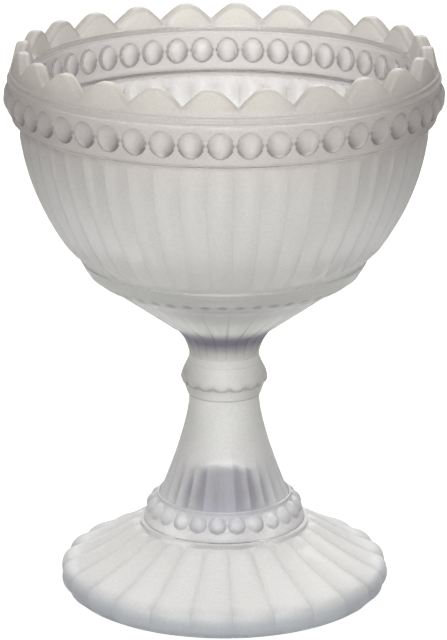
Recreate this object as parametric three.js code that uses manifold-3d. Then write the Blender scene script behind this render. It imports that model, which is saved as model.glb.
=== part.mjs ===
// Footed bowl of frosted pressed glass: a scalloped, pearled and fluted bowl on a
// beaded knop, a tapered hollow stem, a pearled collar and a lobed round foot.
// Millimetres, +Z up. The origin is the centre of the foot's underside.
// The five pieces of glass are joined hot, face to face, at flat rings round the axis.

import * as THREE from 'three';
import { mergeVertices } from 'three/addons/utils/BufferGeometryUtils.js';
import Module from 'manifold-3d';

const wasm = await Module();
wasm.setup();

// Counts of the pressed pattern
const scallopCount = 24;
const ribsPerScallop = 2;
const knopBeadCount = 16;
const lobeCount = 24;

// Heights of the four lower pieces, from the table up
const footHeight = 19.6;
const collarHeight = 7.2;
const stemHeight = 29.5;
const knopHeight = 11.7;

// Heights of the bowl's own zones, from the knop up
const calyxHeight = 19.3;
const ovalZoneHeight = 4.9;
const ledgeHeight = 3.6;
const basinHeight = 39.4;
const bandHeight = 10.3;
const rimHeight = 9.5;

// Turn of each piece about the axis, in degrees from the front
const footTurn = 10.5;
const collarTurn = 9.7;
const stemTurn = 3;
const knopTurn = 18;
const bowlTurn = 10.3;

// Bore and seats shared by neighbouring pieces
const boreRadius = 9;
const collarRadius = 22.5;
const stemFootRadius = 17.9;
const stemTopRadius = 9.7;
const neckRadius = 9.65;
const fitGap = 0.3;

// Foot
const footRadius = 46;
const footRimHeight = 4;
const footShoulderHeight = 7.6;
const restInset = 2.8;
const restWidth = 3;
const footWall = 5;
const boreEdgeHeight = 0.7;
const lobeDepth = 1;
const lobeSag = 0.5;
const lobeTopWidth = 1.2;
const lobeTopDrop = 1;
const rimTuck = 0.8;
const rimTuckHeight = 1.6;
const shoulderTuck = 0.6;
const shoulderInset = 2;
const hollowLean = 2;
const footNeckWidth = 1.5;
const footNeckHeight = 0.5;
const footNeckLip = 0.4;
const footNeckDrop = 0.2;

// Collar: a plain upright edge, and pearls on the slope above it
const collarEdge = 1.1;
const collarSlopeStart = 2.1;
const collarSlopeInset = 0.6;
const collarEdgeTuck = 0.2;
const collarRidgeHeight = 0.5;
const collarRidgeWidth = 0.6;
const collarPearlRadius = 2.45;
const collarPearlHeight = 1.2;

// Stem
const stemWaistRadius = 9.7;
const stemWaistHeight = 20.9;
const stemHollowHeight = 9;
const hollowDomeRadius = 4;
const hollowDomeDrop = 0.7;
const hollowSideRadius = 5.9;
const hollowSideDrop = 3.4;
const stemFluteDepth = 0.5;
const stemFluteHeight = 15;

// Knop
const knopRadius = 11.85;
const knopBeadLow = 3;
const knopWidest = 5;
const knopBeadHigh = 7.2;
const knopBeadDepth = 0.45;
const knopBeadInset = 0.5;
const knopLipOut = 0.6;
const knopLipHeight = 0.5;
const knopShoulderInset = 0.6;
const knopTopInset = 0.6;
const knopTopDrop = 2.2;

// Calyx under the bowl, with flat panels
const calyxRadius = 30.2;
const calyxNeckHeight = 8;
const calyxNeckRadius = 14.4;
const calyxNeckBend = 5;
const calyxNeckFlare = 1;
const panelDepth = 0.3;
const panelLip = 0.5;
const panelLipRise = 0.55;

// Ledge round the bottom of the basin, with a row of small hollow ovals under it
const ledgeInset = 0.3;
const ledgeTaper = 2;
const ledgeGroove = 0.7;
const ovalRowWidth = 2.3;
const ovalRowDrop = 1.9;
const ovalInset = 0.65;
const ovalDrop = 1.2;
const ovalDepth = 0.4;

// Basin: an ellipse about the axis outside and another inside
const basinRadius = 56.1;
const basinDepth = 61.9;
const basinCentreRise = 4.3;
const wallThickness = 4.2;
const floorRise = 0.2;
const ribDepth = 0.75;
const ribEndFade = 2.4;

// Band of pearls and the scalloped rim
const bandStep = 0.9;
const bandEdge = 0.7;
const bandEdgeRise = 0.9;
const bandProud = 2.5;
const bandShoulder = 0.45;
const pearlRise = 5.8;
const pearlRadius = 3.4;
const pearlRelief = 1.5;
const pearlSink = 0.6;
const bandTilt = -0.11;
const rimProud = 0.3;
const rimThickness = 3.5;
const rimRounding = 0.9;
const rimFoot = 0.2;
const rimLean = 1.1;
const rimInnerStep = 0.3;
const scallopDrop = 4.7;
const scallopFlare = 0.2;
const scallopCrown = 0.35;
const scallopTurn = 1;

// Levels in the bowl, measured from its own base on the knop
const ledgeBottom = calyxHeight + ovalZoneHeight;
const ledgeTop = ledgeBottom + ledgeHeight;
const bandBottom = ledgeTop + basinHeight;
const bandTop = bandBottom + bandHeight;
const rimTop = bandTop + rimHeight;
const basinCentre = bandBottom + basinCentreRise;

// Ribs of the basin, and half of one rib's share of the turn
const ribCount = scallopCount * ribsPerScallop;
const halfRib = Math.PI / ribCount;

// Mesh fineness: segments round the axis are whole copies of each pattern
const bowlSegments = ribCount * 2;
const footSegments = lobeCount * 4;
const roundSegments = lobeCount * 2;
const knopSegments = knopBeadCount * 4;

const frostedGlass = {
  bowl: new THREE.MeshStandardMaterial({ color: 0xd2cdc6, roughness: 0.7, metalness: 0 }),
  knop: new THREE.MeshStandardMaterial({ color: 0xcfd0cb, roughness: 0.7, metalness: 0 }),
  stem: new THREE.MeshStandardMaterial({ color: 0xccccc8, roughness: 0.7, metalness: 0 }),
  collar: new THREE.MeshStandardMaterial({ color: 0xcdced0, roughness: 0.7, metalness: 0 }),
  foot: new THREE.MeshStandardMaterial({ color: 0xdcddd9, roughness: 0.7, metalness: 0 }),
};

// A point of a turned outline. inward is how far the relief cuts towards the axis and
// down how far it sinks, each as a function of the angle round the axis. twist turns the
// whole row about the axis, in degrees.
function point(radius, height, inward = null, down = null, twist = 0) {
  return { radius, height, inward, down, twist: THREE.MathUtils.degToRad(twist) };
}

// Convex copies: 0 on the crown of each of count and depth in the crease between two of them
function crease(count, depth, firstCrown = 0) {
  return (angle) => depth * (1 - Math.abs(Math.cos(((angle - firstCrown) * count) / 2)));
}

// Hollow copies: depth in the middle of each of count and 0 on the edge between two of them
function hollows(count, depth, firstMiddle = 0) {
  return (angle) => depth * Math.abs(Math.cos(((angle - firstMiddle) * count) / 2));
}

// Round crest and V valley of the scalloped rim: 0 on a crest, 1 in a valley
function scallop(angle) {
  const turn = (angle * scallopCount) / (2 * Math.PI);
  const away = 2 * Math.abs(turn - Math.round(turn));
  const rise = (x) => Math.cbrt(x ** 3 + scallopCrown ** 3) - scallopCrown;
  return rise(away) / rise(1);
}

// Turns an outline about +Z and lays the relief on it. Angle 0 is the front, -Y.
function turned(outline, segments) {
  const section = outline.map((p) => new THREE.Vector2(p.radius, p.height));
  const geometry = new THREE.LatheGeometry(section, segments);
  const position = geometry.attributes.position;
  for (let i = 0; i <= segments; i += 1) {
    const angle = ((i % segments) / segments) * 2 * Math.PI;
    outline.forEach((p, j) => {
      const radius = p.radius - (p.inward ? p.inward(angle) : 0);
      const height = p.height - (p.down ? p.down(angle) : 0);
      const x = radius * Math.sin(angle + p.twist);
      const y = -radius * Math.cos(angle + p.twist);
      position.setXYZ(i * outline.length + j, x, y, height);
    });
  }
  return geometry;
}

// Merges the seams and drops the flat triangles on the axis, so that the mesh is closed
function closed(geometry) {
  const bare = geometry.clone();
  bare.deleteAttribute('normal');
  bare.deleteAttribute('uv');
  const merged = mergeVertices(bare, 1e-4);
  const index = Array.from(merged.index.array);
  const kept = [];
  for (let i = 0; i < index.length; i += 3) {
    const [a, b, c] = index.slice(i, i + 3);
    if (a !== b && b !== c && c !== a) {
      kept.push(a, b, c);
    }
  }
  merged.setIndex(kept);
  return merged;
}

function toSolid(geometry) {
  const mesh = closed(geometry);
  return new wasm.Manifold(new wasm.Mesh({
    numProp: 3,
    vertProperties: new Float32Array(mesh.attributes.position.array),
    triVerts: new Uint32Array(mesh.index.array),
  }));
}

function toGeometry(solid) {
  const mesh = solid.getMesh();
  const geometry = new THREE.BufferGeometry();
  geometry.setAttribute('position', new THREE.BufferAttribute(mesh.vertProperties, 3));
  geometry.setIndex(new THREE.BufferAttribute(mesh.triVerts, 1));
  return geometry;
}

// A row of flattened balls on a turned surface that faces up from level by tilt
function pearlRow(count, firstAngle, ringRadius, height, radius, relief, tilt) {
  const ball = new THREE.SphereGeometry(1, 8, 4);
  ball.scale(radius, relief, radius);
  ball.rotateX(-tilt);
  ball.translate(0, -ringRadius, height);
  const row = [];
  for (let i = 0; i < count; i += 1) {
    const pearl = ball.clone();
    pearl.rotateZ(firstAngle + (i * 2 * Math.PI) / count);
    row.push(toSolid(pearl));
  }
  return row;
}

function joined(base, additions) {
  const body = additions.reduce((sum, piece) => sum.add(piece), toSolid(base));
  return toGeometry(body);
}

// Radius of the basin's outer ellipse at a level of the bowl
function basinRadiusAt(level) {
  return basinRadius * Math.sqrt(1 - ((basinCentre - level) / basinDepth) ** 2);
}

function placed(name, geometry, material, height, turn) {
  const mesh = new THREE.Mesh(geometry, material);
  mesh.name = name;
  const seat = new THREE.Group();
  seat.position.z = height;
  seat.rotation.z = THREE.MathUtils.degToRad(turn);
  seat.add(mesh);
  return seat;
}

// Foot: a shallow hollow cone of convex lobes with a rounded rim and a flat ring to rest on
function makeFoot() {
  const lobes = crease(lobeCount, lobeDepth);
  const softLobes = crease(lobeCount, lobeDepth / 2);
  const restOuter = footRadius - restInset;
  const restInner = restOuter - restWidth;
  const seatRadius = collarRadius + fitGap;
  const crownRadius = collarRadius + footNeckWidth;
  const crownHeight = footHeight - footNeckHeight;
  const midRadius = (crownRadius + footRadius) / 2;
  const midHeight = (crownHeight + footShoulderHeight) / 2 - lobeSag;
  const outline = [
    point(boreRadius, footHeight),
    point(boreRadius, footHeight - boreEdgeHeight),
    point(crownRadius - footWall, crownHeight - footWall),
    point(restInner - hollowLean, footRimHeight),
    point(restInner, 0),
    point(restOuter, 0),
    point(footRadius - rimTuck, rimTuckHeight, softLobes),
    point(footRadius, footRimHeight, lobes),
    point(footRadius - shoulderTuck, (footRimHeight + footShoulderHeight) / 2, lobes),
    point(footRadius - shoulderInset, footShoulderHeight, null, lobes),
    point(midRadius, midHeight, null, lobes),
    point(crownRadius + lobeTopWidth, crownHeight - lobeTopDrop, null, lobes),
    point(crownRadius, crownHeight),
    point(seatRadius + footNeckLip, footHeight - footNeckDrop),
    point(seatRadius, footHeight),
    point(boreRadius, footHeight),
  ];
  return turned(outline, footSegments);
}

// Collar: a sloping ring of pearls with a thin raised ridge round the stem
function makeCollar() {
  const ridgeInner = stemFootRadius + fitGap;
  const ridgeOuter = ridgeInner + collarRidgeWidth;
  const ridgeTop = collarHeight + collarRidgeHeight;
  const slopeOuter = collarRadius - collarSlopeInset;
  const slopeEnd = collarHeight - collarRidgeHeight;
  const outline = [
    point(boreRadius, 0),
    point(collarRadius - collarEdgeTuck, 0),
    point(collarRadius, collarEdge),
    point(slopeOuter, collarSlopeStart),
    point(ridgeOuter, slopeEnd),
    point(ridgeOuter - collarEdgeTuck, ridgeTop - collarEdgeTuck),
    point((ridgeInner + ridgeOuter) / 2, ridgeTop),
    point(ridgeInner, collarHeight),
    point(boreRadius, collarHeight),
    point(boreRadius, 0),
  ];
  const tilt = Math.atan2(slopeOuter - ridgeOuter, slopeEnd - collarSlopeStart);
  const pearlRing = (slopeOuter + ridgeOuter) / 2;
  const pearlLevel = (collarSlopeStart + slopeEnd) / 2;
  const pearls = pearlRow(
    lobeCount, 0, pearlRing, pearlLevel, collarPearlRadius, collarPearlHeight, tilt,
  );
  return joined(turned(outline, roundSegments), pearls);
}

// Stem: a waisted cone, hollow from below, with flutes that fade out above its foot
function makeStem() {
  const start = new THREE.Vector2(stemFootRadius, 0);
  const waist = new THREE.Vector2(stemWaistRadius, stemWaistHeight);
  const end = new THREE.Vector2(stemTopRadius, stemHeight);
  const side = new THREE.QuadraticBezierCurve(start, waist, end).getPoints(6);
  const outside = side.map((p) => {
    const fade = Math.max(0, 1 - p.y / stemFluteHeight);
    return point(p.x, p.y, crease(lobeCount, stemFluteDepth * fade));
  });
  const outline = [
    point(0, stemHollowHeight),
    point(hollowDomeRadius, stemHollowHeight - hollowDomeDrop),
    point(hollowSideRadius, stemHollowHeight - hollowSideDrop),
    point(boreRadius, 0),
    ...outside,
    point(0, stemHeight),
  ];
  return turned(outline, roundSegments);
}

// Knop: a solid button of glass with a row of soft beads between two plain shoulders
function makeKnop() {
  const beads = crease(knopBeadCount, knopBeadDepth);
  const softBeads = crease(knopBeadCount, knopBeadDepth / 2);
  const outline = [
    point(0, 0),
    point(stemTopRadius, 0),
    point(stemTopRadius + knopLipOut, knopLipHeight),
    point(knopRadius - knopBeadInset, knopBeadLow, beads),
    point(knopRadius, knopWidest, softBeads),
    point(knopRadius - knopShoulderInset, knopBeadHigh),
    point(neckRadius + knopTopInset, knopHeight - knopTopDrop),
    point(neckRadius, knopHeight),
    point(0, knopHeight),
  ];
  return turned(outline, knopSegments);
}

// Outline of the calyx: a narrow neck that opens into a cone of flat panels under a lip
function calyxOutline() {
  const panels = (share) => hollows(scallopCount, share * panelDepth);
  const neck = new THREE.QuadraticBezierCurve(
    new THREE.Vector2(neckRadius, 0),
    new THREE.Vector2(neckRadius + calyxNeckFlare, calyxNeckBend),
    new THREE.Vector2(calyxNeckRadius, calyxNeckHeight),
  ).getPoints(3);
  return [
    ...neck.map((p, i) => point(p.x, p.y, i > 0 ? panels(i / 6) : null)),
    point(calyxRadius, calyxHeight, panels(1)),
    point(calyxRadius + panelLip, calyxHeight + panelLipRise),
  ];
}

// Outline of the ledge: hollow ovals under a plain cone that ends in a fine groove
function ledgeOutline() {
  const ovals = hollows(ribCount, ovalDepth, halfRib);
  const topRadius = basinRadiusAt(ledgeTop) - ledgeInset;
  const bottomRadius = topRadius - ledgeTaper;
  return [
    point(bottomRadius - ovalRowWidth, ledgeBottom - ovalRowDrop),
    point(bottomRadius - ovalInset, ledgeBottom - ovalDrop, ovals),
    point(bottomRadius, ledgeBottom),
    point(topRadius, ledgeTop),
    point(topRadius - ledgeGroove / 2, ledgeTop + ledgeGroove),
  ];
}

// Outline of the basin: an ellipse of ribs, whose creases fade out at both ends
function basinOutline() {
  const foot = ledgeTop + ledgeGroove * 2;
  const top = bandBottom - bandStep;
  const ribs = crease(ribCount, ribDepth, halfRib);
  const ribFoot = foot + ribEndFade;
  const ribTop = top - ribEndFade;
  const steps = 6;
  const outline = [point(basinRadiusAt(foot), foot)];
  for (let i = 0; i <= steps; i += 1) {
    const level = ribFoot + ((ribTop - ribFoot) * i) / steps;
    outline.push(point(basinRadiusAt(level), level, ribs));
  }
  outline.push(point(basinRadiusAt(top), top));
  return outline;
}

// Outline of the band that carries the pearls: it leans out to its shoulder
function bandOutline() {
  const edge = basinRadius + bandStep;
  const widest = basinRadius + bandProud;
  return [
    point(edge, bandBottom),
    point(edge + bandEdge, bandBottom + bandEdgeRise),
    point(widest, bandTop - bandShoulder),
    point(widest - bandShoulder, bandTop + bandShoulder),
  ];
}

// Outline of the scalloped rim, with round edges that rise and fall with the scallops. The
// scallops stand a little off the ribs and pearls below them.
function rimOutline() {
  const down = (angle) => scallopDrop * scallop(angle);
  const outward = (angle) => -scallopFlare * down(angle);
  const outer = basinRadius + rimProud;
  const inner = outer - rimThickness;
  const valley = rimTop - scallopDrop;
  return [
    point(outer + rimLean, valley - rimRounding - rimFoot),
    point(outer, rimTop - rimRounding, outward, down, scallopTurn),
    point(outer - rimRounding, rimTop, outward, down, scallopTurn),
    point(inner + rimRounding, rimTop, outward, down, scallopTurn),
    point(inner, rimTop - rimRounding, outward, down, scallopTurn),
  ];
}

// Inside of the bowl: upright below the rim, then an ellipse down to the floor on the axis
function insideOutline() {
  const radius = basinRadius - wallThickness;
  const depth = basinCentre - calyxHeight - floorRise;
  const steps = 7;
  const outline = [point(radius + rimInnerStep, bandTop)];
  for (let i = 0; i < steps; i += 1) {
    const turn = ((i / steps) * Math.PI) / 2;
    outline.push(point(radius * Math.cos(turn), basinCentre - depth * Math.sin(turn)));
  }
  outline.push(point(0, basinCentre - depth));
  return outline;
}

// Bowl: calyx, ledge, ribbed basin, band of pearls and scalloped rim in one piece of glass
function makeBowl() {
  const outline = [
    point(0, 0),
    ...calyxOutline(),
    ...ledgeOutline(),
    ...basinOutline(),
    ...bandOutline(),
    ...rimOutline(),
    ...insideOutline(),
  ];
  const pearlRing = basinRadius + bandProud - pearlSink;
  const pearlLevel = bandBottom + pearlRise;
  const pearls = pearlRow(
    ribCount, halfRib, pearlRing, pearlLevel, pearlRadius, pearlRelief + pearlSink, bandTilt,
  );
  return joined(turned(outline, bowlSegments), pearls);
}

const collarLevel = footHeight;
const stemLevel = collarLevel + collarHeight;
const knopLevel = stemLevel + stemHeight;
const bowlLevel = knopLevel + knopHeight;

const base = new THREE.Group();
base.add(placed('foot', closed(makeFoot()), frostedGlass.foot, 0, footTurn));
base.add(placed('foot_collar', makeCollar(), frostedGlass.collar, collarLevel, collarTurn));
base.add(placed('stem', closed(makeStem()), frostedGlass.stem, stemLevel, stemTurn));

const footedBowl = new THREE.Group();
footedBowl.add(base);
footedBowl.add(placed('knop', closed(makeKnop()), frostedGlass.knop, knopLevel, knopTurn));
footedBowl.add(placed('bowl', makeBowl(), frostedGlass.bowl, bowlLevel, bowlTurn));

export default footedBowl;
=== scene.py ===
# Looks of the footed bowl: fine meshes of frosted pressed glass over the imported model.
# Sizes below are in millimetres and are turned into metres when a mesh is made.
import math

import bpy
import numpy as np
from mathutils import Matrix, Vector


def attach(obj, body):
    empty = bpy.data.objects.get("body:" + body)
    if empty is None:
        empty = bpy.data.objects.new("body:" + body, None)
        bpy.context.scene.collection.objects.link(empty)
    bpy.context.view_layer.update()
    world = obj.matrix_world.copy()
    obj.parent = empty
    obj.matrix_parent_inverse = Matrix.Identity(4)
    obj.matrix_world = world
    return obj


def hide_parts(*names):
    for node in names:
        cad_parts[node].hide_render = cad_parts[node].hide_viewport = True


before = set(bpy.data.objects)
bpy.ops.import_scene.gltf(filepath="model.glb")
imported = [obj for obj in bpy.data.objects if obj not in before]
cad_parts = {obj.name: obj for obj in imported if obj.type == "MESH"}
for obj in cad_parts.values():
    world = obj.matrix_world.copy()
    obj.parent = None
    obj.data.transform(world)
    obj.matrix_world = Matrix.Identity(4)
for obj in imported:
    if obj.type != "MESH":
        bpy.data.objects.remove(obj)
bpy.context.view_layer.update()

MM = 0.001

# Counts of the pressed pattern
SCALLOPS = 24
RIBS = 48
KNOP_BEADS = 16
LOBES = 24
HALF_RIB = math.pi / RIBS

# Levels of the joints between the pieces, from the table up
COLLAR_LEVEL = 19.6
STEM_LEVEL = 26.8
KNOP_LEVEL = 56.3
BOWL_LEVEL = 68.0
RIM_LEVEL = 155.0

# Turn of each piece about the axis, in degrees from the front
FOOT_TURN = 10.5
COLLAR_TURN = 9.7
STEM_TURN = 3.0
KNOP_TURN = 18.0
BOWL_TURN = 10.3

# Hair's breadth left open in each joint, so that no two faces lie in each other
JOINT_GAP = 0.02

# Basin: an ellipse about the axis outside and another inside
BASIN_RADIUS = 56.1
BASIN_CENTRE = 139.5
BASIN_DEPTH = 61.9
INSIDE_RADIUS = 51.9
INSIDE_DEPTH = 52.0

# Levels in the bowl
LEDGE_BOTTOM = 92.2
LEDGE_TOP = 95.8
BAND_BOTTOM = 135.2
PEARL_LEVEL = 141.0
SCALLOP_DROP = 4.7
SCALLOP_TURN = math.radians(1.0)

# Finishes of a surface, which are the material slots of every piece
FROSTED, SMOOTH, FUSED, BAND, LIP, CALYX, PEARL = 0, 1, 2, 3, 4, 5, 6


def basin_radius(z):
    return BASIN_RADIUS * math.sqrt(1 - ((BASIN_CENTRE - z) / BASIN_DEPTH) ** 2)


def ease(x):
    x = np.clip(x, 0.0, 1.0)
    return x * x * (3 - 2 * x)


def away(angles, count, first=0.0):
    """Distance from the nearest of count equal crowns: 0 on the crown and 1 in the crease."""
    turn = (angles - first) * count / (2 * math.pi)
    return 2 * np.abs(turn - np.round(turn))


def swell(rho, fullness):
    """1 in the middle and 0 at the edge: a round back, or a fuller one with steep edges."""
    rho = np.clip(rho, 0, 1)
    return (1 - fullness) * (1 - rho**2) + fullness * np.sqrt(1 - rho**2)


def flute(rho):
    """1 in the middle and 0 at the edge, with a soft crease there."""
    rho = np.clip(rho, 0, 1)
    return 0.35 * (0.5 + 0.5 * np.cos(rho * math.pi)) + 0.65 * swell(rho, 0.3)


def line_at(x, where, width):
    """A soft line: 1 at where and 0 beyond width from it."""
    return ease(1 - np.abs(x - where) / width)


class Outline:
    """A turned outline in (radius, height). A run may have relief along its normal, a drop of
    radius and height, and a painted shade from 0 to 1, each as a function (share, angles)."""

    def __init__(self, radius, height, finish):
        self.points = [(radius, height)]
        self.made = [(None, None, None, 0.0)]
        self.finish = []
        self.now = finish

    def to(self, radius, height, steps=1, **pattern):
        """A straight run."""
        a = self.points[-1]
        for i in range(1, steps + 1):
            s = i / steps
            self._add(a[0] + (radius - a[0]) * s, a[1] + (height - a[1]) * s, s, **pattern)
        return self

    def curve(self, via, end, steps, **pattern):
        """A bend from the last point to end that leaves and arrives towards via."""
        a = self.points[-1]
        for i in range(1, steps + 1):
            s = i / steps
            r = (1 - s) ** 2 * a[0] + 2 * s * (1 - s) * via[0] + s * s * end[0]
            z = (1 - s) ** 2 * a[1] + 2 * s * (1 - s) * via[1] + s * s * end[1]
            self._add(r, z, s, **pattern)
        return self

    def along(self, function, start, end, steps, **pattern):
        """The points function(x) for x from start to end."""
        for i in range(steps + 1):
            s = i / steps
            r, z = function(start + (end - start) * s)
            self._add(r, z, s, **pattern)
        return self

    def paint(self, finish):
        """The runs after this one have that finish, which may be a function (share, angles)."""
        self.now = finish
        return self

    def _add(self, radius, height, share, relief=None, drop=None, shade=None):
        last = self.points[-1]
        if math.hypot(radius - last[0], height - last[1]) < 1e-4:
            return
        self.points.append((radius, height))
        self.made.append((relief, drop, shade, share))
        self.finish.append((self.now, share))

    def rows(self, angles):
        """Radius, height and painted shade of every point at every angle."""
        p = np.array(self.points)
        step = np.gradient(p, axis=0)
        if np.hypot(*(p[0] - p[-1])) < 1e-4:
            step[0] = step[-1] = p[1] - p[-2]
        length = np.maximum(np.hypot(step[:, 0], step[:, 1]), 1e-9)
        normal = np.stack([step[:, 1], -step[:, 0]], 1) / length[:, None]
        radius = np.repeat(p[:, :1], len(angles), 1)
        height = np.repeat(p[:, 1:], len(angles), 1)
        dark = np.zeros_like(radius)
        for j, (relief, drop, shade, share) in enumerate(self.made):
            if relief is not None:
                lift = relief(share, angles)
                radius[j] += normal[j, 0] * lift
                height[j] += normal[j, 1] * lift
            if drop is not None:
                out, down = drop(share, angles)
                radius[j] += out
                height[j] -= down
            if shade is not None:
                dark[j] = shade(share, angles)
        return radius, height, dark


def build(name, outline, segments, turn, materials, sharp=38):
    """Turns an outline about +Z into a closed mesh. Angle 0 is the front, -Y."""
    angles = np.arange(segments) / segments * 2 * math.pi
    radius, height, dark = outline.rows(angles)
    points = np.array(outline.points)
    looped = np.hypot(*(points[0] - points[-1])) < 1e-4
    count = len(points) - (1 if looped else 0)
    world = angles + math.radians(turn)
    verts, shades, first = [], [], []
    for j in range(count):
        first.append(len(verts))
        if not looped and points[j][0] < 1e-6:
            verts.append((0.0, 0.0, height[j].mean() * MM))
            shades.append(0.0)
        else:
            x = radius[j] * np.sin(world) * MM
            y = -radius[j] * np.cos(world) * MM
            verts.extend(zip(x.tolist(), y.tolist(), (height[j] * MM).tolist()))
            shades.extend(dark[j].tolist())
    faces, slots = [], []
    for j, (finish, share) in enumerate(outline.finish):
        here = finish(share, angles) if callable(finish) else finish
        slots.extend(np.broadcast_to(here, segments).tolist())
        a, b = first[j], first[(j + 1) % count]
        a_pole = not looped and points[j][0] < 1e-6
        b_pole = not looped and points[j + 1][0] < 1e-6
        for i in range(segments):
            k = (i + 1) % segments
            if a_pole:
                faces.append((a, b + k, b + i))
            elif b_pole:
                faces.append((a + i, a + k, b))
            else:
                faces.append((a + i, a + k, b + k, b + i))
    mesh = bpy.data.meshes.new(name)
    mesh.from_pydata(verts, [], faces)
    mesh.polygons.foreach_set("material_index", slots)
    mesh.polygons.foreach_set("use_smooth", [True] * len(faces))
    mesh.set_sharp_from_angle(angle=math.radians(sharp))
    # Painted shade of every vertex, by which the materials darken the colour
    mesh.attributes.new("painted_shade", "FLOAT", "POINT").data.foreach_set("value", shades)
    for m in materials:
        mesh.materials.append(m)
    mesh.update()
    obj = bpy.data.objects.new(name, mesh)
    bpy.context.scene.collection.objects.link(obj)
    return obj


# Relief patterns
def ribs_with_ends(count, depth, low, high, profile, first=0.0, dark=0.03):
    """Convex ribs of that depth on a run, with round ends of length low and high as shares of
    the run. Returns the relief and the painted shade along the creases and round the ends."""

    def rho(s, t):
        end = max(1 - s / low if low else 0.0, 1 - (1 - s) / high if high else 0.0, 0.0)
        return np.hypot(away(t, count, first), end)

    def relief(s, t):
        return depth * (profile(rho(s, t)) - 1)

    def shade(s, t):
        return dark * line_at(rho(s, t), 1.0, 0.25)

    return relief, shade


def caps(count, half_width, half_length, run, ring, height, fullness, first=0.0, dark=0.65):
    """A row of round caps in the middle of a run of that length, on a ring of that radius."""
    pitch = 2 * math.pi * ring / count

    def rho(s, t):
        across = away(t, count, first) * pitch / 2 / half_width
        return np.hypot(across, (s - 0.5) * run / half_length)

    def relief(s, t):
        return height * swell(rho(s, t), fullness)

    # painted shade: each cap darkens towards its edge, most on its lower side
    def shade(s, t):
        inner = rho(s, t)
        low = 0.3 + 0.7 * ease((0.75 - s) / 0.6)
        return dark * np.clip((inner - 0.15) / 0.85, 0, 1) ** 2 * (inner <= 1.05) * low

    return relief, shade


def length_of(start, end):
    return math.hypot(end[0] - start[0], end[1] - start[1])


def scallop(angles):
    """Round crest and V valley of the rim: 0 on a crest, 1 in a valley."""
    u = away(angles, SCALLOPS, SCALLOP_TURN)
    crown = 0.35
    return (np.cbrt(u**3 + crown**3) - crown) / (np.cbrt(1 + crown**3) - crown)


def whole(s, t):
    return 1.0
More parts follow.
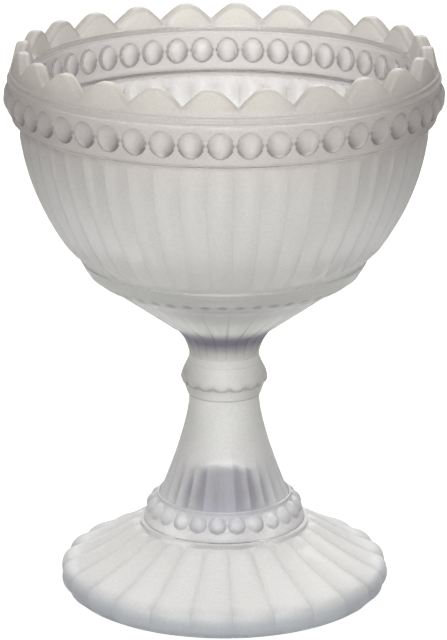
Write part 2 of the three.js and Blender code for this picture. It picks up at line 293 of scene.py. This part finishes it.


# Bowl: calyx, row of hollow ovals, ledge, ribbed basin, pearl band, scalloped rim and smooth inside
def bowl_outline():
    o = Outline(0, BOWL_LEVEL + JOINT_GAP, FUSED)
    o.to(9.65, BOWL_LEVEL + JOINT_GAP, 2)
    o.paint(CALYX)

    # calyx of flat panels between sharp arrises
    half_panel = math.pi / SCALLOPS

    def panels(radius):
        def flat(s, t):
            middle = math.cos(half_panel) / np.cos((1 - away(t, SCALLOPS)) * half_panel)
            return -1.4 * radius(s) * (1 - middle)

        return flat

    def arrises(strength, width):
        return lambda s, t: strength(s) * line_at(away(t, SCALLOPS), 1.0, width(s))

    flat = panels(lambda s: 14.4 * ease(s * 1.2))

    def neck(s, t):
        hollow = 0.35 * float(ease(s * 4) * ease((1.2 - s) / 0.5))
        return flat(s, t) - hollow * np.cos(away(t, SCALLOPS) * math.pi / 2)

    # painted shade: dark streaks along the arrises, strongest at the foot of the calyx and fading up it
    o.curve((10.65, 72.96), (14.4, 76.0), 20, relief=neck, shade=arrises(lambda s: 0.5 * s, lambda s: 0.3))
    o.to(
        30.2, 87.3, 24,
        relief=panels(lambda s: 14.4 + 15.8 * s), shade=arrises(lambda s: 0.5 * (1 - s) ** 2 + 0.12, lambda s: 0.3 - 0.22 * s),
    )
    o.to(30.45, 87.9, 1, relief=panels(lambda s: 0))
    # small hollow ovals under the ledge, painted darker inside as painted shade
    start, end = (34.9, 90.1), (37.3, 91.9)
    o.to(*start, 4)
    run = length_of(start, end)
    ovals, shade = caps(RIBS, 1.7, 1.45, run, 36.1, -0.5, 0.3, HALF_RIB)
    o.to(*end, 16, relief=ovals, shade=lambda s, t: -1.1 * ovals(s, t))
    o.paint(FROSTED)
    o.to(37.5, LEDGE_BOTTOM + 0.1, 2)
    o.to(38.35, LEDGE_BOTTOM + 1.5, 4)
    o.to(38.5, LEDGE_BOTTOM + 1.6, 1)
    o.to(39.45, LEDGE_TOP - 0.2, 5)
    o.curve((39.5, LEDGE_TOP + 0.05), (39.1, LEDGE_TOP + 0.15), 4)
    # groove, then the ribs
    foot = LEDGE_TOP + 0.35
    o.to(basin_radius(foot) - 0.9, foot, 2)
    rib_start, rib_end = foot + 0.2, BAND_BOTTOM - 0.9
    run = rib_end - rib_start
    relief, shade = ribs_with_ends(RIBS, 0.95, 4.4 / run, 3.6 / run, flute, HALF_RIB)
    o.along(lambda z: (basin_radius(z), z), rib_start, rib_end, 56, relief=relief, shade=shade)
    # a fine groove, then the band with its pearls; the groove and the underside of the band's step are painted dark,
    # as painted shade
    o.to(BASIN_RADIUS - 1.1, BAND_BOTTOM - 0.45, 2)
    o.paint(BAND)
    o.to(BASIN_RADIUS - 1.0, BAND_BOTTOM - 0.1, 1, shade=whole)
    o.to(BASIN_RADIUS + 0.9, BAND_BOTTOM, 2, shade=whole)
    step = (BASIN_RADIUS + 1.6, BAND_BOTTOM + 0.9)
    o.curve((BASIN_RADIUS + 1.5, BAND_BOTTOM + 0.1), step, 4, shade=lambda s, t: 0.6 * (1 - s))
    start, end = (57.7, PEARL_LEVEL - 4.1), (58.6, PEARL_LEVEL + 4.1)
    o.to(*start, 3)
    run = length_of(start, end)
    # the pearls carry strong painted shade on their lower sides
    pearls, shade = caps(RIBS, 3.3, 3.55, run, 58.2, 1.65, 0.3, HALF_RIB, dark=0.9)
    o.paint(lambda s, t: np.where(pearls(s, t) > 0.01, PEARL, BAND))
    o.to(*end, 44, relief=pearls, shade=shade)
    o.paint(BAND)
    # two thin ridges above the pearls, then the scallops
    o.to(58.45, 145.8, 2)
    o.curve((59.2, 146.2), (58.2, 146.75), 6)
    o.to(57.85, 147.3, 2)
    o.curve((58.6, 147.75), (57.6, 148.3), 6)
    low = RIM_LEVEL - SCALLOP_DROP - 1.0
    o.to(57.6, low, 2)

    def rise(share):
        def drop(s, t):
            down = SCALLOP_DROP * scallop(t) * share(s)
            return 0.2 * down, down

        return drop

    o.to(56.5, RIM_LEVEL - 1.1, 14, drop=rise(lambda s: s))
    o.curve((56.35, RIM_LEVEL), (55.3, RIM_LEVEL), 6, drop=rise(lambda s: 1))
    o.to(54.2, RIM_LEVEL, 2, drop=rise(lambda s: 1))
    o.paint(LIP)
    # painted shade darkening towards the inner edge of the rim
    edge = dict(drop=rise(lambda s: 1), shade=lambda s, t: 0.2 * s)
    o.curve((53.0, RIM_LEVEL), (52.9, RIM_LEVEL - 1.1), 6, **edge)
    o.to(52.4, low - 0.4, 14, drop=rise(lambda s: 1 - s))
    o.paint(SMOOTH)
    # a faint line of painted shade where the smooth inside begins
    o.to(52.25, low - 0.7, 1, shade=lambda s, t: 0.12)
    o.to(51.95, 141.5, 8)

    def inside(a):
        return INSIDE_RADIUS * math.cos(a), BASIN_CENTRE - INSIDE_DEPTH * math.sin(a)

    o.along(inside, 0.0, math.pi / 2 * 0.985, 40)
    o.to(0, BASIN_CENTRE - INSIDE_DEPTH, 1)
    return o


def knop_outline():
    o = Outline(0, KNOP_LEVEL + JOINT_GAP, FUSED)
    o.to(9.7, KNOP_LEVEL + JOINT_GAP, 2)
    o.paint(FROSTED)
    # painted shade: a dark line in the groove at the knop's foot
    o.to(10.1, KNOP_LEVEL + 0.1, 1, shade=lambda s, t: 0.6)
    low, high = KNOP_LEVEL + 3.0, KNOP_LEVEL + 7.2

    def side(z):
        return 11.85 - 0.12 * (z - (KNOP_LEVEL + 5.0)) ** 2, z

    o.curve((10.7, KNOP_LEVEL + 1.7), (side(low)[0] - 0.3, low), 6)

    # beads with round lower ends, which run out into the plain swell above them
    def rho(s, t):
        return np.hypot(away(t, KNOP_BEADS), max(0.0, 1 - s / 0.4))

    def beads(s, t):
        return (0.6 * swell(rho(s, t), 0.4) - 0.4) * float(ease((0.8 - s) / 0.5))

    # painted shade round the lower ends of the beads
    def shade(s, t):
        return 0.45 * line_at(rho(s, t), 0.9, 0.6) * float(ease((0.5 - s) / 0.3))

    o.along(side, low, high, 22, relief=beads, shade=shade)
    o.curve((10.6, KNOP_LEVEL + 8.5), (10.25, KNOP_LEVEL + 9.5), 6)
    # faint painted shade in the groove above the knop
    o.to(10.1, KNOP_LEVEL + 9.55, 1, shade=lambda s, t: 0.15)
    o.curve((9.8, KNOP_LEVEL + 10.4), (9.65, BOWL_LEVEL - JOINT_GAP), 8)
    o.paint(FUSED)
    o.to(0, BOWL_LEVEL - JOINT_GAP, 2)
    return o


def stem_outline():
    o = Outline(0, STEM_LEVEL + 9.0, SMOOTH)
    o.curve((4.6, STEM_LEVEL + 8.9), (5.6, STEM_LEVEL + 6.4), 12)
    o.curve((6.8, STEM_LEVEL + 2.6), (9.0, STEM_LEVEL + JOINT_GAP), 10)
    o.paint(FUSED)
    o.to(18.0, STEM_LEVEL + JOINT_GAP, 3)
    o.paint(FROSTED)
    o.to(17.95, STEM_LEVEL + 0.15, 1)

    # flutes that fade out upwards, flat with sharp arrises
    def flutes(s, t):
        return -0.38 * float(ease(1.15 - s / 0.45)) * np.cos(away(t, LOBES) * math.pi / 2)

    # faint painted shade along the arrises of the flutes, fading out upwards
    def shade(s, t):
        return 0.08 * float(ease(1 - s / 0.42)) * line_at(away(t, LOBES), 1.0, 0.2)

    o.curve((9.7, STEM_LEVEL + 20.9), (9.7, KNOP_LEVEL - JOINT_GAP), 50, relief=flutes, shade=shade)
    o.paint(FUSED)
    o.to(0, KNOP_LEVEL - JOINT_GAP, 2)
    return o


def collar_outline():
    o = Outline(9.0, COLLAR_LEVEL + JOINT_GAP, FUSED)
    o.to(22.3, COLLAR_LEVEL + JOINT_GAP, 3)
    o.paint(FROSTED)
    # painted shade: a dark line at the collar's foot
    o.to(22.5, COLLAR_LEVEL + 0.1, 1, shade=lambda s, t: 0.4)
    o.curve((22.5, COLLAR_LEVEL + 1.2), (21.9, 21.6), 4)
    start, end = (21.85, 21.7), (18.85, STEM_LEVEL - 0.45)
    o.to(*start, 1)
    run = length_of(start, end)
    # the collar's pearls carry a light painted shade on their lower sides
    relief, shade = caps(LOBES, 2.45, 2.45, run, 20.4, 1.25, 0.55, dark=0.25)
    o.to(*end, 26, relief=relief, shade=shade)
    o.to(18.8, STEM_LEVEL + 0.1, 2)
    o.curve((18.8, STEM_LEVEL + 0.6), (18.45, STEM_LEVEL + 0.5), 4)
    o.curve((18.2, STEM_LEVEL + 0.45), (18.15, STEM_LEVEL - JOINT_GAP), 3)
    o.paint(FUSED)
    o.to(9.0, STEM_LEVEL - JOINT_GAP, 2)
    o.paint(SMOOTH)
    o.to(9.0, COLLAR_LEVEL + JOINT_GAP, 3)
    return o


def foot_outline():
    o = Outline(9.0, COLLAR_LEVEL - JOINT_GAP, SMOOTH)
    o.to(9.0, 18.9, 1)
    o.curve((9.2, 17.5), (20.0, 14.4), 10)
    o.to(38.2, 4.0, 14)
    o.curve((40.0, 3.0), (40.2, 0.3), 6)
    o.to(40.5, 0, 1)
    o.to(43.0, 0, 2)
    o.paint(FROSTED)
    o.to(43.6, 0.25, 1)

    def lobes(share):
        return lambda s, t: 1.1 * share(s) * (swell(away(t, LOBES), 0.2) - 1)

    # painted shade in the creases between the lobes on the rim
    def shade(share):
        return lambda s, t: 0.1 * share(s) * line_at(away(t, LOBES), 1.0, 0.25)

    o.curve((45.5, 1.3), (45.9, 2.9), 6, relief=lobes(lambda s: 0.3 + 0.5 * s))
    o.curve((46.15, 4.3), (45.8, 5.6), 8, relief=lobes(lambda s: 0.8 + 0.2 * s))
    o.curve((45.4, 7.3), (43.8, 8.0), 8, relief=lobes(lambda s: 1), shade=shade(lambda s: s))
    run = length_of((43.8, 8.0), (24.0, 19.1))
    # the creases and ends of the cone's lobes carry a light painted shade
    relief, shade_cone = ribs_with_ends(LOBES, 1.1, 0, 3.0 / run, lambda rho: swell(rho, 0.2), dark=0.07)
    o.curve((33.0, 12.6), (24.0, 19.1), 56, relief=relief, shade=shade_cone)
    # faint painted shade on the ring round the foot of the collar
    o.curve((23.2, 19.5), (22.7, COLLAR_LEVEL - 0.1), 3, shade=lambda s, t: 0.15)
    # painted shade: a dark line where the foot meets the collar
    o.to(22.5, COLLAR_LEVEL - JOINT_GAP, 1, shade=lambda s, t: 0.6)
    o.paint(FUSED)
    o.to(9.0, COLLAR_LEVEL - JOINT_GAP, 3)
    return o


# Small node groups
def maths(nodes, links, operation, a, b):
    node = nodes.new("ShaderNodeMath")
    node.operation = operation
    for socket, value in zip(node.inputs, (a, b)):
        if hasattr(value, "links"):
            links.new(value, socket)
        else:
            socket.default_value = value
    return node.outputs[0]


def ranged(nodes, links, value, start, end, low, high):
    node = nodes.new("ShaderNodeMapRange")
    node.inputs["From Min"].default_value = start
    node.inputs["From Max"].default_value = end
    node.inputs["To Min"].default_value = low
    node.inputs["To Max"].default_value = high
    links.new(value, node.inputs["Value"])
    return node.outputs["Result"]


def between(nodes, links, share, a, b):
    node = nodes.new("ShaderNodeMix")
    node.data_type = "FLOAT"
    links.new(share, node.inputs["Factor"])
    for name, value in (("A", a), ("B", b)):
        if hasattr(value, "links"):
            links.new(value, node.inputs[name])
        else:
            node.inputs[name].default_value = value
    return node.outputs["Result"]


# Materials: satin frosted outside, smooth inside, and a clear joint where pieces are fused
def toned(nodes, links, tones, painted_shade, painted_shade_tone):
    """Colour by height with a faint cloud in it, and painted shade: darker where the mesh's shade
    attribute is set, in the creases and grooves of the relief and on the lower sides of caps.
    """
    place = nodes.new("ShaderNodeTexCoord")
    parts = nodes.new("ShaderNodeSeparateXYZ")
    links.new(place.outputs["Object"], parts.inputs[0])
    share = nodes.new("ShaderNodeMapRange")
    share.inputs["From Max"].default_value = RIM_LEVEL * MM
    links.new(parts.outputs["Z"], share.inputs["Value"])
    ramp = nodes.new("ShaderNodeValToRGB")
    stops = ramp.color_ramp.elements
    while len(stops) < len(tones):
        stops.new(0.5)
    for stop, (height, colour) in zip(stops, tones):
        stop.position = height / RIM_LEVEL
        stop.color = (*colour, 1)
    links.new(share.outputs["Result"], ramp.inputs["Fac"])
    cloud = nodes.new("ShaderNodeTexNoise")
    cloud.inputs["Scale"].default_value = 38
    cloud.inputs["Detail"].default_value = 3
    links.new(place.outputs["Object"], cloud.inputs["Vector"])
    tint = nodes.new("ShaderNodeMix")
    tint.data_type = "RGBA"
    tint.blend_type = "MULTIPLY"
    tint.inputs["B"].default_value = (0.97, 0.965, 0.96, 1)
    links.new(cloud.outputs["Fac"], tint.inputs["Factor"])
    links.new(ramp.outputs["Color"], tint.inputs["A"])
    if not painted_shade:
        return place, cloud, tint.outputs["Result"]
    dust = nodes.new("ShaderNodeTexNoise")
    dust.inputs["Scale"].default_value = 1800
    dust.inputs["Detail"].default_value = 1
    links.new(place.outputs["Object"], dust.inputs["Vector"])
    amount = ranged(nodes, links, dust.outputs["Fac"], 0.35, 0.65, 0.0, 1.0)
    speckled = nodes.new("ShaderNodeMix")
    speckled.data_type = "RGBA"
    speckled.blend_type = "MULTIPLY"
    speckled.inputs["B"].default_value = (0.92, 0.92, 0.92, 1)
    links.new(amount, speckled.inputs["Factor"])
    links.new(tint.outputs["Result"], speckled.inputs["A"])
    # Painted shade: the colour darkens towards the dark tone where the mesh's shade is set
    held = nodes.new("ShaderNodeAttribute")
    held.attribute_name = "painted_shade"
    amount = nodes.new("ShaderNodeMath")
    amount.operation = "MULTIPLY"
    amount.inputs[1].default_value = painted_shade
    links.new(held.outputs["Fac"], amount.inputs[0])
    dark = nodes.new("ShaderNodeMix")
    dark.data_type = "RGBA"
    dark.inputs["B"].default_value = (*painted_shade_tone, 1)
    links.new(amount.outputs[0], dark.inputs["Factor"])
    links.new(speckled.outputs["Result"], dark.inputs["A"])
    return place, cloud, dark.outputs["Result"]


def glass(name, tones, rough, grain, clear, through, painted_shade=0.0, painted_shade_tone=(0.08, 0.07, 0.08)):
    """clear is the share of light that passes as through glass, and through the share that the
    frost lets by as soft light. The mesh's painted shade darkens the colour towards a dark tone,
    as strongly as given."""
    material = bpy.data.materials.new(name)
    material.use_nodes = True
    nodes, links = material.node_tree.nodes, material.node_tree.links
    shader = nodes["Principled BSDF"]
    place, cloud, colour = toned(nodes, links, tones, painted_shade, painted_shade_tone)
    links.new(colour, shader.inputs["Base Color"])
    shader.inputs["IOR"].default_value = 1.5
    shader.inputs["Transmission Weight"].default_value = clear
    wear = nodes.new("ShaderNodeMapRange")
    wear.inputs["To Min"].default_value = rough - 0.05
    wear.inputs["To Max"].default_value = rough + 0.05
    links.new(cloud.outputs["Fac"], wear.inputs["Value"])
    links.new(wear.outputs["Result"], shader.inputs["Roughness"])
    if grain:
        speck = nodes.new("ShaderNodeTexNoise")
        speck.inputs["Scale"].default_value = 1500
        speck.inputs["Detail"].default_value = 2
        links.new(place.outputs["Object"], speck.inputs["Vector"])
        bump = nodes.new("ShaderNodeBump")
        bump.inputs["Strength"].default_value = grain
        bump.inputs["Distance"].default_value = 0.0002
        links.new(speck.outputs["Fac"], bump.inputs["Height"])
        links.new(bump.outputs["Normal"], shader.inputs["Normal"])
    if through:
        soft = nodes.new("ShaderNodeBsdfTranslucent")
        links.new(colour, soft.inputs["Color"])
        mix = nodes.new("ShaderNodeMixShader")
        mix.inputs["Fac"].default_value = through
        links.new(shader.outputs[0], mix.inputs[1])
        links.new(soft.outputs[0], mix.inputs[2])
        links.new(mix.outputs[0], nodes["Material Output"].inputs["Surface"])
    return material


# Tone by height on the bowl, partly painted light and shade: a dark purple ring of painted shade about the neck from
# 70 to 75 mm, a near-white ring of painted highlight at the calyx's top edge at 87.4-88 mm, a slightly darker oval row
# and ledge of painted shade up to 95.5 mm, and painted light on the lower basin, near white from 96.5 to 110 mm and
# greyer up to the band.
BOWL_TONES = [
    (68, (0.70, 0.70, 0.67)),
    (70.4, (0.57, 0.55, 0.54)),
    (73.1, (0.20, 0.18, 0.25)),
    (75.0, (0.20, 0.18, 0.25)),
    (78.4, (0.85, 0.86, 0.83)),
    (86.9, (0.84, 0.85, 0.82)),
    (87.4, (0.99, 0.99, 0.96)),
    (88.0, (0.99, 0.99, 0.96)),
    (88.4, (0.82, 0.83, 0.80)),
    (95.5, (0.89, 0.90, 0.87)),
    (96.5, (1.0, 1.0, 0.98)),
    (110, (0.98, 0.98, 0.96)),
    (128, (0.80, 0.79, 0.765)),
    (136, (0.77, 0.73, 0.71)),
    (146, (0.79, 0.75, 0.73)),
    (149, (0.82, 0.785, 0.735)),
    (155, (0.845, 0.82, 0.76)),
]
# The foot's upright rim is painted darker bluish grey as painted shade, below the near-white cone from 8.5 mm up
FOOT_TONES = [
    (0, (0.50, 0.54, 0.59)),
    (4.5, (0.55, 0.58, 0.62)),
    (8.5, (0.99, 0.99, 0.97)),
    (22, (0.99, 0.99, 0.97)),
]
# The collar's sloping body, from 22.5 mm up, is painted darker than its plain lower ring, as painted shade
COLLAR_TONES = [(19, (0.93, 0.93, 0.92)), (21.5, (0.93, 0.93, 0.92)), (22.5, (0.81, 0.81, 0.82)), (28, (0.80, 0.80, 0.82))]
# The stem is painted near white at its foot and greyer upwards and on the knop: painted light below, painted shade
# above
STEM_TONES = [(27, (0.99, 0.985, 0.98)), (48, (0.85, 0.855, 0.82)), (58, (0.79, 0.79, 0.76)), (68, (0.81, 0.81, 0.78))]
FROST = dict(rough=0.42, grain=0.35, clear=0.72, through=0.1, painted_shade=1.0)
SOLID = dict(rough=0.45, grain=0.35, clear=0.4, through=0.12, painted_shade=1.0)
FOOT = dict(rough=0.48, grain=0.35, clear=0.55, through=0.12, painted_shade=1.0)
STEM = dict(rough=0.44, grain=0.35, clear=0.71, through=0.12, painted_shade=1.0)
BANDED = dict(rough=0.48, grain=0.35, clear=0.6, through=0.27, painted_shade=1.0)
PEARLED = dict(rough=0.58, grain=0.35, clear=0.8, through=0.12, painted_shade=1.0)
PANELLED = dict(rough=0.42, grain=0.35, clear=0.6, through=0.08, painted_shade=1.0)
frosted_bowl = glass("frosted_bowl", BOWL_TONES, **FROST)
frosted_band = glass("frosted_band", BOWL_TONES, **BANDED)
# The pearls are coloured lighter than the band about them, as painted light, which makes up for the painted shade on
# their lower sides
PEARL_TONES = [(0, (0.87, 0.83, 0.81)), (155, (0.87, 0.83, 0.81))]
frosted_pearl = glass("frosted_pearl", PEARL_TONES, **PEARLED)
LIP_TONES = [(0, (0.98, 0.97, 0.92)), (155, (0.98, 0.97, 0.92))]
frosted_lip = glass("frosted_lip", LIP_TONES, **BANDED)
frosted_calyx = glass("frosted_calyx", BOWL_TONES, **PANELLED)
frosted_foot = glass("frosted_foot", FOOT_TONES, **FOOT)
frosted_collar = glass("frosted_collar", COLLAR_TONES, **SOLID)
frosted_stem = glass("frosted_stem", STEM_TONES, **STEM)
CLEAR_TONES = [(0, (0.98, 0.98, 0.97)), (155, (0.98, 0.97, 0.95))]
smooth = glass("smooth_inside", CLEAR_TONES, 0.12, 0, 1.0, 0, painted_shade=0.6)
# The hollows inside the stem and collar are painted very dark purple: painted shade for the darkness seen through the
# glass
HOLLOW_SHADE_TONES = [(0, (0.045, 0.038, 0.16)), (155, (0.045, 0.038, 0.16))]
hollow = glass("hollow_painted_shade", HOLLOW_SHADE_TONES, 0.2, 0, 0.4, 0)
fused = bpy.data.materials.new("fused_joint")
fused.use_nodes = True
fused_shader = fused.node_tree.nodes["Principled BSDF"]
fused_shader.inputs["Base Color"].default_value = (1, 1, 1, 1)
fused_shader.inputs["Transmission Weight"].default_value = 1
fused_shader.inputs["Roughness"].default_value = 0
fused_shader.inputs["IOR"].default_value = 1

PIECES = [
    ("glass_foot", "foot", foot_outline(), LOBES * 20, FOOT_TURN, frosted_foot, smooth),
    ("glass_collar", "foot_collar", collar_outline(), LOBES * 20, COLLAR_TURN, frosted_collar, hollow),
    ("glass_stem", "stem", stem_outline(), LOBES * 12, STEM_TURN, frosted_stem, hollow),
    ("glass_knop", "knop", knop_outline(), KNOP_BEADS * 20, KNOP_TURN, frosted_stem, smooth),
    ("glass_bowl", "bowl", bowl_outline(), RIBS * 20, BOWL_TURN, frosted_bowl, smooth),
]
for name, node, outline, segments, turn, outside, inside in PIECES:
    piece = build(name, outline, segments, turn, [outside, inside, fused, frosted_band, frosted_lip, frosted_calyx, frosted_pearl])
    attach(piece, "root")
    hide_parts(node)


# Camera at the photograph's angle
def make_camera():
    data = bpy.data.cameras.new("camera")
    data.sensor_fit = "HORIZONTAL"
    data.sensor_width = 36
    data.lens = 3408 * 36 / 447
    data.shift_x = -0.7 / 447
    data.clip_start = 0.01
    camera = bpy.data.objects.new("camera", data)
    camera.location = (0, -0.901, 0.3517)
    camera.rotation_euler = (math.radians(90 - 16.95), 0, 0)
    bpy.context.scene.collection.objects.link(camera)
    bpy.context.scene.camera = camera


# Light: white all round where it is seen, also through the glass, and dim at the far sides,
# which draws the edges of the glass
def make_floor():
    mesh = bpy.data.meshes.new("floor")
    ring = 64
    verts = [(0, 0, 0)]
    for i in range(ring):
        a = 2 * math.pi * i / ring
        verts.append((3 * math.cos(a), 3 * math.sin(a), 0))
    faces = [(0, 1 + i, 1 + (i + 1) % ring) for i in range(ring)]
    mesh.from_pydata(verts, [], faces)
    floor = bpy.data.objects.new("floor", mesh)
    bpy.context.scene.collection.objects.link(floor)
    material = bpy.data.materials.new("floor_paper")
    material.use_nodes = True
    nodes, links = material.node_tree.nodes, material.node_tree.links
    shader = nodes["Principled BSDF"]
    shader.inputs["Base Color"].default_value = (0.35, 0.35, 0.36, 1)
    shader.inputs["Roughness"].default_value = 0.9
    shader.inputs["Specular IOR Level"].default_value = 0.1
    path = nodes.new("ShaderNodeLightPath")
    place = nodes.new("ShaderNodeTexCoord")
    parts = nodes.new("ShaderNodeSeparateXYZ")
    links.new(place.outputs["Object"], parts.inputs[0])
    across = maths(nodes, links, "ABSOLUTE", parts.outputs["X"], 0.0)
    middle = ranged(nodes, links, across, 0.05, 0.25, 0.9, 0.0)
    behind = ranged(nodes, links, parts.outputs["Y"], -0.12, 0.08, 0.2, 1.0)
    paper = maths(nodes, links, "MULTIPLY", middle, behind)
    glassy = maths(
        nodes, links, "MAXIMUM", path.outputs["Is Transmission Ray"], path.outputs["Is Glossy Ray"]
    )
    shown = maths(nodes, links, "MULTIPLY", glassy, paper)
    level = between(nodes, links, path.outputs["Is Camera Ray"], shown, 0.88)
    shader.inputs["Emission Color"].default_value = (1, 1, 1, 1)
    links.new(level, shader.inputs["Emission Strength"])
    mesh.materials.append(material)


def make_light(name, place, aim, size, watts, colour=(1, 1, 1)):
    data = bpy.data.lights.new(name, "AREA")
    data.shape = "RECTANGLE"
    data.size, data.size_y = size
    data.energy = watts
    data.color = colour
    light = bpy.data.objects.new(name, data)
    light.location = place
    towards = Vector(aim) - Vector(place)
    light.rotation_euler = towards.to_track_quat("-Z", "Y").to_euler()
    bpy.context.scene.collection.objects.link(light)


def make_world():
    world = bpy.data.worlds.new("studio")
    world.use_nodes = True
    nodes, links = world.node_tree.nodes, world.node_tree.links
    back = nodes["Background"]
    place = nodes.new("ShaderNodeTexCoord")
    parts = nodes.new("ShaderNodeSeparateXYZ")
    links.new(place.outputs["Generated"], parts.inputs[0])
    sideways = maths(nodes, links, "MULTIPLY", parts.outputs["X"], parts.outputs["X"])
    flags = ranged(nodes, links, sideways, 0.025, 0.3, 1.0, 0.1)
    up = ranged(nodes, links, parts.outputs["Z"], 0.0, 0.9, 0.5, 1.0)
    soft = maths(nodes, links, "MULTIPLY", up, flags)
    path = nodes.new("ShaderNodeLightPath")
    glassy = maths(
        nodes, links, "MAXIMUM", path.outputs["Is Transmission Ray"], path.outputs["Is Glossy Ray"]
    )
    sky = ranged(nodes, links, parts.outputs["Z"], -0.1, 0.5, 0.93, 1.0)
    seen = maths(nodes, links, "MULTIPLY", sky, flags)
    lit = between(nodes, links, glassy, soft, seen)
    level = between(nodes, links, path.outputs["Is Camera Ray"], lit, 1.0)
    links.new(level, back.inputs["Strength"])
    tint = nodes.new("ShaderNodeMix")
    tint.data_type = "RGBA"
    tint.inputs["A"].default_value = (1, 0.84, 0.80, 1)
    tint.inputs["B"].default_value = (1, 1, 1, 1)
    plain = maths(nodes, links, "MAXIMUM", flags, path.outputs["Is Camera Ray"])
    links.new(plain, tint.inputs["Factor"])
    links.new(tint.outputs["Result"], back.inputs["Color"])
    bpy.context.scene.world = world


make_camera()
make_floor()
make_light("key", (-0.12, -0.85, 0.75), (0, 0, 0.07), (0.9, 0.7), 7)
make_light("fill", (0, -0.95, 0.32), (0, 0, 0.07), (1.0, 0.5), 2.8)
make_light("back", (0.1, 0.8, 0.66), (0, 0, 0.1), (0.8, 0.5), 6)
make_world()
bpy.context.scene.view_settings.view_transform = "Standard"
